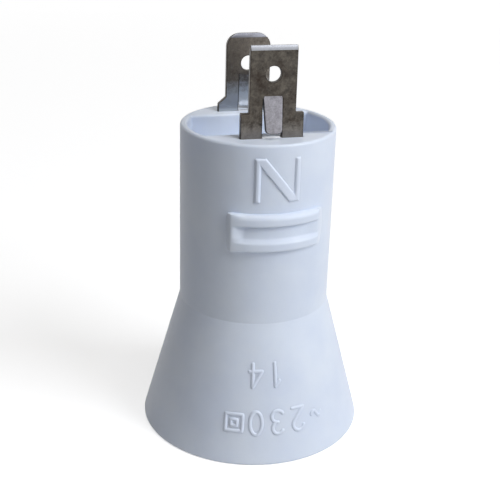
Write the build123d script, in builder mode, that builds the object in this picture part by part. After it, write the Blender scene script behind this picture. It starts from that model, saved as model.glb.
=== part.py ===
from build123d import *
from math import cos, radians, sin
import os

# Refrigerator lamp adapter: a white moulded lamp holder with a flared skirt, an E14 screw shell and two
# push-on tabs. It stands on its mouth. The origin is the centre of the mouth, +Z points to the tabs, and
# the marked side with the neutral tab faces -Y. All sizes are in millimetres.

# Housing
mouth_diameter = 32.4
skirt_height = 19.5
skirt_wall = 1.6
shelf_width = 0.85  # flat ring round the screw shell's bead
shelf_rise = 0.5  # from the foot of the neck up to the shelf
rim_round = 0.4
mouth_round = 0.35
partition = 1.8
trough_depth = 4.0
trough_round = 0.2
rim_wall = 1.0
platform_land = 1.55  # from a terminal's slot to the trough
chamber_side = 0.5  # from the end of a slot to the side of the contact chamber
chamber_reach = 3.4  # how far the chamber runs past the axis, away from the line terminal
live_air_gap = 3.0  # between the screw shell and the live leaf

# Key pad on the neck
pad_half_angle = 33.5
pad_drop = 9.4  # from the end face down to the pad's top
pad_proud = 0.9
pad_root = 1.0  # how deep the pad is rooted in the neck's wall
upper_rib = 1.6
pocket_height = 2.25
lower_rib = 1.35
web_angle = 4.8
pocket_floor = 0.1
rib_round = 0.3

# Screw shell of the E14 socket
thread_diameter = 14.04
shell_sheet = 0.4
shell_length = 14.5
shell_recess = 0.6
shell_clearance = 0.08
shell_bend = 0.3
bead_reach = 0.8

# Terminals
terminal_spacing = 14.0
terminal_sheet = 0.8
tab_width = 6.3
strip_width = 8.5
slot_clearance = 0.05
tab_hole = 2.1
tip_bevel_height = 0.6
tip_bevel_depth = 0.25
bend_round = 0.5
foot_width = 5.6
foot_rise = 1.4  # from the foot's underside to where the strip takes its full width

# Neutral terminal, with square shoulders
neutral_reach = 12.1
neutral_shoulder = 3.3
neutral_hole_drop = 3.7
neutral_lance_lift = 0.7  # from the end face up to the lance's free end

# Line terminal, with sloped shoulders and a rounded tip
line_reach = 11.0
line_shoulder = 2.0
line_slope = 0.95
line_hole_drop = 4.2
line_corner = 1.9
line_lance_lift = 0.3

# Windows and lances
window_width = 2.65
window_height = 5.3
lance_gap = 0.05
lance_taper = 0.2  # how much narrower each side of the lance is at its free end
lance_root = 0.3  # how far the lance runs up into the tab
lance_angle = 14.5
lance_round = 0.6

# Centre contact leaf
leaf_sheet = 0.3
leaf_width = 4.6
leaf_base = 2.9
leaf_dip = 1.5
leaf_tail = 1.8
leaf_tail_rise = 0.4

# Rivets
rivet_shank = 1.2
rivet_head = 2.0
rivet_head_height = 0.4
rivet_head_chamfer = 0.2
rivet_edge = 1.2  # from a foot's free end to its rivet
rivet_gap = 0.05  # from a rivet's head to the bend
rivet_hole_clearance = 0.02
rivet_recess_clearance = 0.15

# Levels, worked out from the mouth up
shelf_z = skirt_height + shelf_rise
shell_base_z = shelf_z + shell_recess
bead_seat_z = shell_base_z + shell_sheet
shell_top_z = shell_base_z + shell_length
neutral_seat_z = shell_top_z + terminal_sheet
leaf_z = shell_top_z + live_air_gap
line_foot_z = leaf_z + leaf_sheet
chamber_top_z = line_foot_z + terminal_sheet
trough_floor_z = chamber_top_z + partition
body_height = trough_floor_z + trough_depth

# Radii, worked out from the thread outwards
thread_radius = thread_diameter / 2
shell_radius = thread_radius + shell_sheet
bore_radius = shell_radius + shell_clearance
bead_radius = shell_radius + bead_reach
counterbore_radius = bead_radius + shell_clearance
shelf_radius = counterbore_radius + shelf_width
neck_radius = shelf_radius + skirt_wall
mouth_radius = mouth_diameter / 2

# Places along Y, the same on both sides
terminal_y = terminal_spacing / 2
strip_outside_y = terminal_y + terminal_sheet / 2
slot_inside_y = terminal_y - terminal_sheet / 2 - slot_clearance
slot_width = strip_width + 2 * slot_clearance
slot_gap = terminal_sheet + 2 * slot_clearance
rivet_y = terminal_y - terminal_sheet / 2 - bend_round - rivet_head / 2 - rivet_gap
foot_end_y = rivet_y - rivet_edge


def plane_through_axis(angle):
    """Upright plane from the axis outwards, at an angle in degrees from the front towards +X."""
    turn = radians(angle - 90)
    return Plane(origin=(0, 0, 0), x_dir=(cos(turn), sin(turn), 0), z_dir=(sin(turn), -cos(turn), 0))


def make_housing():
    """White moulding: skirt, neck, socket bore, contact chamber, trough, slots and key pad."""
    with BuildPart() as housing:
        with BuildSketch(Plane.XZ):
            with BuildLine():
                Polyline(
                    (0, neutral_seat_z),
                    (bore_radius, neutral_seat_z),
                    (bore_radius, bead_seat_z + shell_bend),
                    (bore_radius + shell_bend, bead_seat_z),
                    (counterbore_radius, bead_seat_z),
                    (counterbore_radius, shelf_z),
                    (shelf_radius, shelf_z),
                    (shelf_radius, skirt_height),
                    (mouth_radius - skirt_wall, 0),
                    (mouth_radius, 0),
                    (neck_radius, skirt_height),
                    (neck_radius, body_height),
                    (0, body_height),
                    close=True,
                )
            make_face()
        revolve(axis=Axis.Z)
        circles = housing.edges().filter_by(GeomType.CIRCLE)
        fillet(circles.group_by(Axis.Z)[-1], rim_round)
        fillet(circles.group_by(Axis.Z)[0].sort_by(SortBy.RADIUS)[-1], mouth_round)

        # Trough across the end, closed at both ends by the rim
        trough_side_y = slot_inside_y - platform_land
        with BuildSketch(Plane.XY.offset(trough_floor_z)):
            Circle(neck_radius - rim_wall)
            Rectangle(2 * neck_radius, 2 * trough_side_y, mode=Mode.INTERSECT)
        extrude(amount=trough_depth, mode=Mode.SUBTRACT)
        end_edges = housing.edges().filter_by_position(Axis.Z, body_height, body_height)
        fillet(end_edges.filter_by_position(Axis.Y, -trough_side_y, trough_side_y), trough_round)

        # Slots from the shelf to the end, because both terminals go in from the mouth
        with BuildSketch(Plane.XY.offset(shelf_z)):
            with Locations((0, -terminal_y), (0, terminal_y)):
                Rectangle(slot_width, slot_gap)
        extrude(amount=body_height - shelf_z, mode=Mode.SUBTRACT)

        # Chamber over the socket, for the leaf and the line terminal's foot
        with BuildSketch(Plane.XY.offset(neutral_seat_z)):
            with Locations((0, terminal_y)):
                Rectangle(
                    slot_width + 2 * chamber_side,
                    terminal_y + chamber_reach,
                    align=(Align.CENTER, Align.MAX),
                )
        extrude(amount=chamber_top_z - neutral_seat_z, mode=Mode.SUBTRACT)

        # Relief for each terminal's bend, and a recess for the head of its rivet
        relief = bend_round + 2 * slot_clearance
        for side, seat_z in ((-1, neutral_seat_z), (1, chamber_top_z)):
            with BuildSketch(Plane.YZ):
                with BuildLine():
                    Polyline(
                        (side * (slot_inside_y + slot_clearance), seat_z),
                        (side * (slot_inside_y - relief), seat_z),
                        (side * (slot_inside_y + slot_clearance), seat_z + relief + slot_clearance),
                        close=True,
                    )
                make_face()
            extrude(amount=slot_width / 2, both=True, mode=Mode.SUBTRACT)
            with BuildSketch(Plane.XY.offset(seat_z)):
                with Locations((0, side * rivet_y)):
                    Circle(rivet_head / 2 + rivet_recess_clearance)
            extrude(amount=rivet_head_height + rivet_recess_clearance, mode=Mode.SUBTRACT)
        add(make_key_pad())
    return housing


def make_key_pad():
    """Band round the front of the neck, with a pocket between two ribs and a web at each end."""
    pad_height = lower_rib + pocket_height + upper_rib
    pad_base_z = body_height - pad_drop - pad_height
    pad_radius = neck_radius + pad_proud
    with BuildPart() as pad:
        with BuildSketch(plane_through_axis(-pad_half_angle)):
            with Locations((pad_radius, pad_base_z)):
                Rectangle(pad_proud + pad_root, pad_height, align=(Align.MAX, Align.MIN))
        revolve(axis=Axis.Z, revolution_arc=2 * pad_half_angle)
        pocket_half_angle = pad_half_angle - web_angle
        with BuildSketch(plane_through_axis(-pocket_half_angle)):
            with Locations((neck_radius + pocket_floor, pad_base_z + lower_rib)):
                Rectangle(pad_proud, pocket_height, align=(Align.MIN, Align.MIN))
        revolve(axis=Axis.Z, revolution_arc=2 * pocket_half_angle, mode=Mode.SUBTRACT)
        fillet(pad.faces().sort_by(Axis.Y)[0].edges(), rib_round)
    return pad.part


def make_screw_shell():
    """Thin shell of the socket, with a bead round its mouth and a flange with a rivet hole inside."""
    half = shell_sheet / 2
    with BuildPart() as shell:
        with BuildSketch(Plane.XZ):
            with BuildLine():
                FilletPolyline(
                    (bead_radius, shell_base_z + half),
                    (thread_radius + half, shell_base_z + half),
                    (thread_radius + half, shell_top_z - half),
                    (foot_end_y, shell_top_z - half),
                    radius=shell_bend + half,
                )
            trace(line_width=shell_sheet)
        revolve(axis=Axis.Z)
        extrude(rivet_hole(-rivet_y, shell_top_z), amount=shell_sheet, both=True, mode=Mode.SUBTRACT)
    return shell


def rivet_hole(y, level):
    """Sketch of an upright rivet hole in the sheet that lies at this level."""
    with BuildSketch(Plane.XY.offset(level)) as hole:
        with Locations((0, y)):
            Circle(rivet_shank / 2 + rivet_hole_clearance)
    return hole.sketch


def make_terminal(side, reach, shoulder, slope, corner, hole_drop, lift, foot_z):
    """Stamped and bent strip: a tab with a hole, a window and a lance, and a foot that turns inwards.

    The side is -1 for the neutral terminal and 1 for the line terminal.
    """
    y = side * terminal_y
    tip_z = body_height + reach
    half = terminal_sheet / 2
    foot_centre_z = foot_z + half
    with BuildPart() as strip:
        # The strip seen from the side, with its bend and the bevels on its tip
        with BuildSketch(Plane.YZ):
            with BuildLine():
                FilletPolyline(
                    (side * foot_end_y, foot_centre_z),
                    (y, foot_centre_z),
                    (y, tip_z),
                    radius=bend_round + half,
                )
            trace(line_width=terminal_sheet)
            for face in (-1, 1):
                with BuildLine():
                    Polyline(
                        (y + face * half, tip_z),
                        (y + face * half, tip_z - tip_bevel_height),
                        (y + face * (half - tip_bevel_depth), tip_z),
                        close=True,
                    )
                make_face(mode=Mode.SUBTRACT)
        extrude(amount=strip_width / 2, both=True)

        # The strip's outline seen from the front
        with BuildSketch(Plane.XZ):
            with BuildLine():
                Polyline(
                    (0, foot_z),
                    (foot_width / 2, foot_z),
                    (foot_width / 2, foot_z + foot_rise),
                    (strip_width / 2, foot_z + foot_rise),
                    (strip_width / 2, body_height + shoulder - slope),
                    (tab_width / 2, body_height + shoulder),
                    (tab_width / 2, tip_z),
                    (0, tip_z),
                )
                mirror(about=Plane.YZ)
            outline = make_face()
            if corner:
                fillet(outline.vertices().group_by(Axis.Y)[-1], corner)
        extrude(amount=strip_outside_y, both=True, mode=Mode.INTERSECT)

        # Window and hole
        with BuildSketch(Plane.XZ.offset(-y)):
            with Locations((0, body_height + window_height / 2)):
                Rectangle(window_width, window_height)
            with Locations((0, tip_z - hole_drop)):
                Circle(tab_hole / 2)
        extrude(amount=terminal_sheet, both=True, mode=Mode.SUBTRACT)
        extrude(rivet_hole(side * rivet_y, foot_centre_z), amount=terminal_sheet, both=True, mode=Mode.SUBTRACT)

        # Lance, hinged at the top of the window and bent outwards
        lean = radians(lance_angle)
        lance_width = window_width - 2 * lance_gap
        lance_length = (window_height - lift) / cos(lean)
        hinge = Plane(
            origin=(0, y, body_height + window_height),
            x_dir=(1, 0, 0),
            z_dir=(0, side * cos(lean), sin(lean)),
        )
        with BuildSketch(hinge):
            with BuildLine():
                Polyline(
                    (-lance_width / 2, -side * lance_root),
                    (lance_width / 2, -side * lance_root),
                    (lance_width / 2 - lance_taper, side * lance_length),
                    (lance_taper - lance_width / 2, side * lance_length),
                    close=True,
                )
            tongue = make_face()
            fillet(tongue.vertices().group_by(Axis.Y)[-1 if side > 0 else 0], lance_round)
        extrude(amount=half, both=True)
    return strip


def make_leaf():
    """Spring leaf of the centre contact, which dips to the axis and turns up at its free end."""
    half = leaf_sheet / 2
    base_z = leaf_z + half
    base_end_y = rivet_y + rivet_head / 2
    bend_y = base_end_y - leaf_base
    with BuildPart() as leaf:
        with BuildSketch(Plane.YZ):
            with BuildLine():
                Line((base_end_y, base_z), (bend_y, base_z))
                drop = TangentArc((bend_y, base_z), (bend_y / 2, base_z - leaf_dip / 2), tangent=(-1, 0))
                TangentArc((bend_y / 2, base_z - leaf_dip / 2), (0, base_z - leaf_dip), tangent=drop % 1)
                TangentArc((0, base_z - leaf_dip), (-leaf_tail, base_z - leaf_dip + leaf_tail_rise),
                           tangent=(-1, 0))
            trace(line_width=leaf_sheet)
        extrude(amount=leaf_width / 2, both=True)
        extrude(rivet_hole(rivet_y, base_z), amount=leaf_sheet, both=True, mode=Mode.SUBTRACT)
    return leaf


def make_rivet(y, low, high):
    """Rivet with a shank through the sheets between two levels and a head on each side."""
    with BuildPart() as rivet:
        with BuildSketch(Plane.XY.offset(low)):
            with Locations((0, y)):
                Circle(rivet_shank / 2)
        extrude(amount=high - low)
        for level, way in ((low, -1), (high, 1)):
            with BuildSketch(Plane.XY.offset(level)):
                with Locations((0, y)):
                    Circle(rivet_head / 2)
            extrude(amount=way * rivet_head_height)
        circles = rivet.edges().filter_by(GeomType.CIRCLE).group_by(Axis.Z)
        chamfer(circles[0] + circles[-1], rivet_head_chamfer)
    return rivet


pieces = {
    "housing": make_housing(),
    "screw_shell": make_screw_shell(),
    "neutral_terminal": make_terminal(
        side=-1,
        reach=neutral_reach,
        shoulder=neutral_shoulder,
        slope=0,
        corner=0,
        hole_drop=neutral_hole_drop,
        lift=neutral_lance_lift,
        foot_z=shell_top_z,
    ),
    "line_terminal": make_terminal(
        side=1,
        reach=line_reach,
        shoulder=line_shoulder,
        slope=line_slope,
        corner=line_corner,
        hole_drop=line_hole_drop,
        lift=line_lance_lift,
        foot_z=line_foot_z,
    ),
    "centre_contact": make_leaf(),
    "shell_rivet": make_rivet(-rivet_y, shell_top_z - shell_sheet, neutral_seat_z),
    "contact_rivet": make_rivet(rivet_y, leaf_z, chamber_top_z),
}

os.makedirs("parts", exist_ok=True)
for name, piece in pieces.items():
    piece.part.label = name
    export_step(piece.part, f"parts/{name}.step")
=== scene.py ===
import logging
from dataclasses import dataclass
from enum import Enum
from math import ceil, cos, hypot, pi, radians, sin, sqrt, tan

import bpy
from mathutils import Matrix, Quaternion, Vector


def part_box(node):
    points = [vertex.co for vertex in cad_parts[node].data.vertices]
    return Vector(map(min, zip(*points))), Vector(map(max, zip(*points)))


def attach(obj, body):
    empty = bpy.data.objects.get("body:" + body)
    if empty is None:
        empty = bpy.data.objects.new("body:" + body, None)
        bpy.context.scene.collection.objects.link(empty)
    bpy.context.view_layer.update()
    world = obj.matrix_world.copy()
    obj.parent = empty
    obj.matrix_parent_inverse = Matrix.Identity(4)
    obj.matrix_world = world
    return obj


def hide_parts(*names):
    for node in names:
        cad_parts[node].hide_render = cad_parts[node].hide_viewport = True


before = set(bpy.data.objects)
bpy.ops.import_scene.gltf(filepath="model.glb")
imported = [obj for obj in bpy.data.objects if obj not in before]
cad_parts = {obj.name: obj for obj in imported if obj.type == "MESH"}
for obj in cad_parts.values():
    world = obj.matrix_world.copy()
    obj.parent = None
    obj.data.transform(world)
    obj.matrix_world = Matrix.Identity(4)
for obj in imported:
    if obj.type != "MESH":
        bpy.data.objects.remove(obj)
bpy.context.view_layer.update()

MM = 0.001
log = logging.getLogger("lamp_adapter")

Colour = tuple[float, float, float]
Point = tuple[float, float]
Scale = tuple[float, float, float]


# Modelling tools. Meshes are worked in millimetres and go to metres at the end.


class Facing(Enum):
    """Which way a flat outline faces before it is extruded."""

    SIDE = Vector((1, 0, 0))
    FRONT = Vector((0, 1, 0))
    TOP = Vector((0, 0, 1))

    def place(self, point: Vector, depth: float) -> Vector:
        """Point in space for a point of the outline.

        Args:
            point: Point of the outline, across and up.
            depth: Place along the direction that the outline faces.

        Returns:
            The point in space.
        """
        if self is Facing.SIDE:
            return Vector((depth, point.x, point.y))
        if self is Facing.FRONT:
            return Vector((point.x, depth, point.y))
        return Vector((point.x, point.y, depth))


@dataclass(frozen=True)
class Corner:
    """Corner of an outline, with the radius of its round."""

    x: float
    y: float
    round: float = 0.0

    def place(self) -> Vector:
        """The corner's sharp point."""
        return Vector((self.x, self.y))


def rounded(corners: list[Corner], closed: bool = True, step: float = radians(10)) -> list[Vector]:
    """Points of an outline whose corners are arcs.

    Args:
        corners: Corners in order.
        closed: Whether the last corner joins the first.
        step: Largest angle between two points of an arc.

    Returns:
        The outline's points in order.
    """
    points = []
    for index, corner in enumerate(corners):
        here = corner.place()
        at_end = not closed and index in (0, len(corners) - 1)
        if at_end or not corner.round:
            points.append(here)
            continue
        back = (corners[index - 1].place() - here).normalized()
        ahead = (corners[(index + 1) % len(corners)].place() - here).normalized()
        half = back.angle(ahead) / 2
        centre = here + (back + ahead).normalized() * corner.round / sin(half)
        start = here + back * corner.round / tan(half) - centre
        way = 1 if (-back).cross(ahead) > 0 else -1
        sweep = pi - 2 * half
        count = max(2, ceil(sweep / step))
        for number in range(count + 1):
            turn = way * sweep * number / count
            points.append(centre + Vector((
                start.x * cos(turn) - start.y * sin(turn),
                start.x * sin(turn) + start.y * cos(turn),
            )))
    return points


def ease(share: float) -> float:
    """Smooth step that is 0 up to 0 and 1 from 1 on."""
    share = max(0.0, min(1.0, share))
    return share * share * (3 - 2 * share)


def deselect() -> None:
    """Leaves edit mode and selects nothing."""
    if bpy.context.mode != "OBJECT":
        bpy.ops.object.mode_set(mode="OBJECT")
    bpy.ops.object.select_all(action="DESELECT")


def pick(piece: bpy.types.Object) -> None:
    """Selects one object alone and makes it active.

    Args:
        piece: The object.
    """
    deselect()
    piece.select_set(True)
    bpy.context.view_layer.objects.active = piece


def edit_all(piece: bpy.types.Object) -> None:
    """Opens a mesh in edit mode with all of it selected.

    Args:
        piece: The object.
    """
    pick(piece)
    bpy.ops.object.mode_set(mode="EDIT")
    bpy.ops.mesh.select_all(action="SELECT")


def clean(piece: bpy.types.Object, gap: float = 0.001) -> None:
    """Merges doubles, drops loose edges and points the faces outwards.

    Args:
        piece: The object.
        gap: Distance under which two points become one.
    """
    edit_all(piece)
    bpy.ops.mesh.remove_doubles(threshold=gap)
    bpy.ops.mesh.delete_loose(use_verts=True, use_edges=True, use_faces=False)
    bpy.ops.mesh.select_all(action="SELECT")
    bpy.ops.mesh.normals_make_consistent(inside=False)
    bpy.ops.object.mode_set(mode="OBJECT")


def add_loop(points: list[Vector]) -> bpy.types.Object:
    """Adds a closed loop of edges through points in space.

    Args:
        points: The points in order.

    Returns:
        The loop's object.
    """
    deselect()
    bpy.ops.mesh.primitive_circle_add(vertices=len(points), radius=1, location=(0, 0, 0))
    loop = bpy.context.object
    for vertex, point in zip(loop.data.vertices, points):
        vertex.co = point
    return loop


def turn_outline(
    outline: list[Vector], steps: int, start: float = 0.0, sweep: float = 2 * pi
) -> bpy.types.Object:
    """Spins an upright outline about the axis.

    Args:
        outline: Points as radius and height.
        steps: Number of steps round the axis.
        start: Angle of the first section from the front, towards +X.
        sweep: Angle turned.

    Returns:
        The closed solid's object.
    """
    piece = add_loop([Vector((p.x * sin(start), -p.x * cos(start), p.y)) for p in outline])
    edit_all(piece)
    bpy.ops.mesh.spin(steps=steps, angle=sweep, center=(0, 0, 0), axis=(0, 0, -1))
    bpy.ops.mesh.select_all(action="SELECT")
    bpy.ops.mesh.remove_doubles(threshold=0.001)
    if sweep < 2 * pi:
        bpy.ops.mesh.select_all(action="SELECT")
        bpy.ops.mesh.fill_holes(sides=0)
    clean(piece)
    return piece


def prism(outline: list[Vector], facing: Facing, low: float, high: float) -> bpy.types.Object:
    """Extrudes a closed outline.

    Args:
        outline: The outline's points.
        facing: The way the outline faces.
        low: Where the solid starts.
        high: Where the solid ends.

    Returns:
        The solid's object.
    """
    piece = add_loop([facing.place(point, low) for point in outline])
    edit_all(piece)
    bpy.ops.mesh.edge_face_add()
    reach = facing.value * (high - low)
    bpy.ops.mesh.extrude_region_move(TRANSFORM_OT_translate={"value": tuple(reach)})
    clean(piece)
    return piece


def block(low: Vector, high: Vector) -> bpy.types.Object:
    """Adds a box between two corners.

    Args:
        low: Lowest corner.
        high: Highest corner.

    Returns:
        The box's object.
    """
    deselect()
    bpy.ops.mesh.primitive_cube_add(size=1, location=(low + high) / 2, scale=high - low)
    bpy.ops.object.transform_apply(location=True, rotation=True, scale=True)
    return bpy.context.object


def round_bar(centre: Vector, radius: float, length: float, along: Facing) -> bpy.types.Object:
    """Adds a round bar.

    Args:
        centre: Middle of the bar.
        radius: The bar's radius.
        length: The bar's length.
        along: The way the bar lies.

    Returns:
        The bar's object.
    """
    deselect()
    turn = Vector((0, 0, 1)).rotation_difference(along.value).to_euler()
    bpy.ops.mesh.primitive_cylinder_add(
        vertices=48, radius=radius, depth=length, location=centre, rotation=turn
    )
    bpy.ops.object.transform_apply(location=True, rotation=True, scale=True)
    return bpy.context.object


def apply_modifier(piece: bpy.types.Object, kind: str, **settings: object) -> None:
    """Adds a modifier and applies it.

    Args:
        piece: The object.
        kind: The modifier's type.
        settings: The modifier's settings.
    """
    pick(piece)
    modifier = piece.modifiers.new(kind.title(), kind)
    for name, value in settings.items():
        setattr(modifier, name, value)
    bpy.ops.object.modifier_apply(modifier=modifier.name)


def combine(piece: bpy.types.Object, tool: bpy.types.Object, operation: str = "DIFFERENCE") -> None:
    """Cuts or joins a piece with a tool body, which is used up.

    Args:
        piece: The object that is kept.
        tool: The other body.
        operation: DIFFERENCE, UNION or INTERSECT.
    """
    apply_modifier(piece, "BOOLEAN", operation=operation, solver="EXACT", object=tool)
    bpy.data.objects.remove(tool)


def soften(piece: bpy.types.Object, width: float, segments: int = 3, limit: float = 40.0,
           round_slot: int = -1) -> None:
    """Rounds the sharp edges of a piece.

    Args:
        piece: The object.
        width: Width of the round.
        segments: Number of faces across it.
        limit: Edges under this angle in degrees stay as they are.
        round_slot: Material slot for the new faces, or -1 for that of their neighbours.
    """
    apply_modifier(
        piece, "BEVEL", width=width, segments=segments, limit_method="ANGLE",
        angle_limit=radians(limit), use_clamp_overlap=False, material=round_slot,
        miter_outer="MITER_ARC",
    )


def join(pieces: list[bpy.types.Object]) -> bpy.types.Object:
    """Joins objects into the first one.

    Args:
        pieces: The objects.

    Returns:
        The joined object.
    """
    pick(pieces[0])
    for piece in pieces[1:]:
        piece.select_set(True)
    bpy.ops.object.join()
    return bpy.context.object


def shade(piece: bpy.types.Object, limit: float = 32.0, creases: tuple[Corner, ...] = ()) -> None:
    """Shades a piece smoothly, apart from its sharp edges, and keeps its flats flat.

    Args:
        piece: The object.
        limit: Edges over this angle in degrees stay sharp.
        creases: Rings round the axis that stay sharp all the same, as radius and height.
    """
    pick(piece)
    bpy.ops.object.shade_smooth_by_angle(angle=radians(limit))
    points = piece.data.vertices
    for edge in piece.data.edges:
        ends = [points[index].co for index in edge.vertices]
        for crease in creases:
            if all(abs(hypot(p.x, p.y) - crease.x) + abs(p.z - crease.y) < 0.02 for p in ends):
                edge.use_edge_sharp = True
    apply_modifier(piece, "WEIGHTED_NORMAL", keep_sharp=True, weight=60)


def finish_piece(
    piece: bpy.types.Object, name: str, finishes: list[bpy.types.Material], node: str = ""
) -> None:
    """Takes a piece to metres, dresses it and puts it on the body.

    Args:
        piece: The object.
        name: The piece's name.
        finishes: Materials in the order of the mesh's slots.
        node: CAD node that the piece stands for, if any.
    """
    pick(piece)
    piece.scale = (MM, MM, MM)
    bpy.ops.object.transform_apply(location=True, rotation=True, scale=True)
    piece.name = name
    piece.data.name = name
    piece.data.materials.clear()
    for finish in finishes:
        piece.data.materials.append(finish)
    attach(piece, "root")
    if node:
        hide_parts(node)
    log.info("%s: %d faces", name, len(piece.data.polygons))


# Finishes


def paint(red: int, green: int, blue: int) -> Colour:
    """Linear colour for a colour written in 0 to 255.

    Args:
        red: Red part.
        green: Green part.
        blue: Blue part.

    Returns:
        The linear colour.
    """
    shares = (red / 255, green / 255, blue / 255)
    return tuple(s / 12.92 if s <= 0.04045 else ((s + 0.055) / 1.055) ** 2.4 for s in shares)


class Shading:
    """Node tree of one material, with short calls to add and link its nodes."""

    def __init__(self, name: str) -> None:
        """Starts a material with a surface shader.

        Args:
            name: The material's name.
        """
        self.material = bpy.data.materials.new(name)
        self.material.use_nodes = True
        self.nodes = self.material.node_tree.nodes
        self.links = self.material.node_tree.links
        self.surface = self.nodes["Principled BSDF"]
        coordinates = self.nodes.new("ShaderNodeTexCoord")
        self.place = self.scaled(coordinates.outputs["Object"], (1 / MM, 1 / MM, 1 / MM))

    def scaled(self, source: bpy.types.NodeSocket, scale: Scale) -> bpy.types.NodeSocket:
        """Coordinates stretched along each axis.

        Args:
            source: Coordinates to stretch.
            scale: Factor on each axis.

        Returns:
            The stretched coordinates.
        """
        node = self.nodes.new("ShaderNodeMapping")
        node.inputs["Scale"].default_value = scale
        self.links.new(source, node.inputs["Vector"])
        return node.outputs["Vector"]

    def noise(self, grain: float, detail: float = 3.0, stretch: Scale = (1, 1, 1),
              roughness: float = 0.5) -> bpy.types.NodeSocket:
        """Noise of a grain size.

        Args:
            grain: Size of the grains in millimetres.
            detail: How many finer layers are added.
            stretch: Factor on each axis; a small one draws the grains out along it.
            roughness: Share of the finer layers.

        Returns:
            The noise's value.
        """
        node = self.nodes.new("ShaderNodeTexNoise")
        node.inputs["Scale"].default_value = 1 / grain
        node.inputs["Detail"].default_value = detail
        node.inputs["Roughness"].default_value = roughness
        self.links.new(self.scaled(self.place, stretch), node.inputs["Vector"])
        return node.outputs["Fac"]

    def height(self, source: bpy.types.NodeSocket, waver: float) -> bpy.types.NodeSocket:
        """Height above the floor in millimetres, made uneven.

        Args:
            source: Value that makes it uneven.
            waver: Millimetres that the source adds at 1.

        Returns:
            The height.
        """
        parts = self.nodes.new("ShaderNodeSeparateXYZ")
        self.links.new(self.place, parts.inputs["Vector"])
        node = self.nodes.new("ShaderNodeMath")
        node.operation = "MULTIPLY_ADD"
        node.inputs[1].default_value = waver
        self.links.new(source, node.inputs[0])
        self.links.new(parts.outputs["Z"], node.inputs[2])
        return node.outputs["Value"]

    def ramp(self, source: bpy.types.NodeSocket, low: float, high: float) -> bpy.types.NodeSocket:
        """Value that goes from 0 to 1 between two values of the source.

        Args:
            source: The value.
            low: Where the result is 0.
            high: Where the result is 1.

        Returns:
            The new value.
        """
        node = self.nodes.new("ShaderNodeMapRange")
        node.inputs["From Min"].default_value = low
        node.inputs["From Max"].default_value = high
        self.links.new(source, node.inputs["Value"])
        return node.outputs["Result"]

    def level(self, source: bpy.types.NodeSocket, low: float, high: float) -> bpy.types.NodeSocket:
        """Value between two levels for a source that runs from 0 to 1.

        Args:
            source: The value.
            low: Result at 0.
            high: Result at 1.

        Returns:
            The new value.
        """
        node = self.nodes.new("ShaderNodeMapRange")
        node.inputs["To Min"].default_value = low
        node.inputs["To Max"].default_value = high
        self.links.new(source, node.inputs["Value"])
        return node.outputs["Result"]

    def blend(self, share: bpy.types.NodeSocket, first: Colour | bpy.types.NodeSocket,
              second: Colour | bpy.types.NodeSocket) -> bpy.types.NodeSocket:
        """Mix of two colours.

        Args:
            share: Share of the second colour.
            first: Colour at 0.
            second: Colour at 1.

        Returns:
            The mixed colour.
        """
        node = self.nodes.new("ShaderNodeMix")
        node.data_type = "RGBA"
        self.links.new(share, node.inputs["Factor"])
        for value, socket in ((first, node.inputs[6]), (second, node.inputs[7])):
            if isinstance(value, bpy.types.NodeSocket):
                self.links.new(value, socket)
            else:
                socket.default_value = (*value, 1)
        return node.outputs[2]

    def bump(self, layers: list[tuple[bpy.types.NodeSocket, float]]) -> None:
        """Lays bumps on the surface, one over the other.

        Args:
            layers: Each height map with its height in millimetres.
        """
        normal = None
        for source, height in layers:
            node = self.nodes.new("ShaderNodeBump")
            node.inputs["Distance"].default_value = height * MM
            self.links.new(source, node.inputs["Height"])
            if normal:
                self.links.new(normal, node.inputs["Normal"])
            normal = node.outputs["Normal"]
        self.links.new(normal, self.surface.inputs["Normal"])


@dataclass(frozen=True)
class MouldedPlastic:
    """White moulded plastic, satin, with a fine grain and slow unevenness, that light enters a little."""

    name: str
    colour: Colour
    shade_colour: Colour
    roughness: float
    glow_share: float = 0.4
    glow_depth: float = 0.8

    def make(self) -> bpy.types.Material:
        """The finish as a material."""
        tree = Shading(self.name)
        tree.surface.inputs["Subsurface Weight"].default_value = self.glow_share
        tree.surface.inputs["Subsurface Radius"].default_value = (1.0, 0.95, 0.9)
        tree.surface.inputs["Subsurface Scale"].default_value = self.glow_depth * MM
        clouds = tree.ramp(tree.noise(7.0, detail=4), 0.35, 0.65)
        tree.links.new(
            tree.blend(clouds, self.colour, self.shade_colour), tree.surface.inputs["Base Color"]
        )
        grain = tree.noise(0.22, detail=4, roughness=0.65)
        flow = tree.noise(5.0, detail=2)
        tree.links.new(
            tree.level(grain, self.roughness - 0.08, self.roughness + 0.1),
            tree.surface.inputs["Roughness"],
        )
        tree.bump([(flow, 0.12), (grain, 0.012)])
        return tree.material


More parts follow.
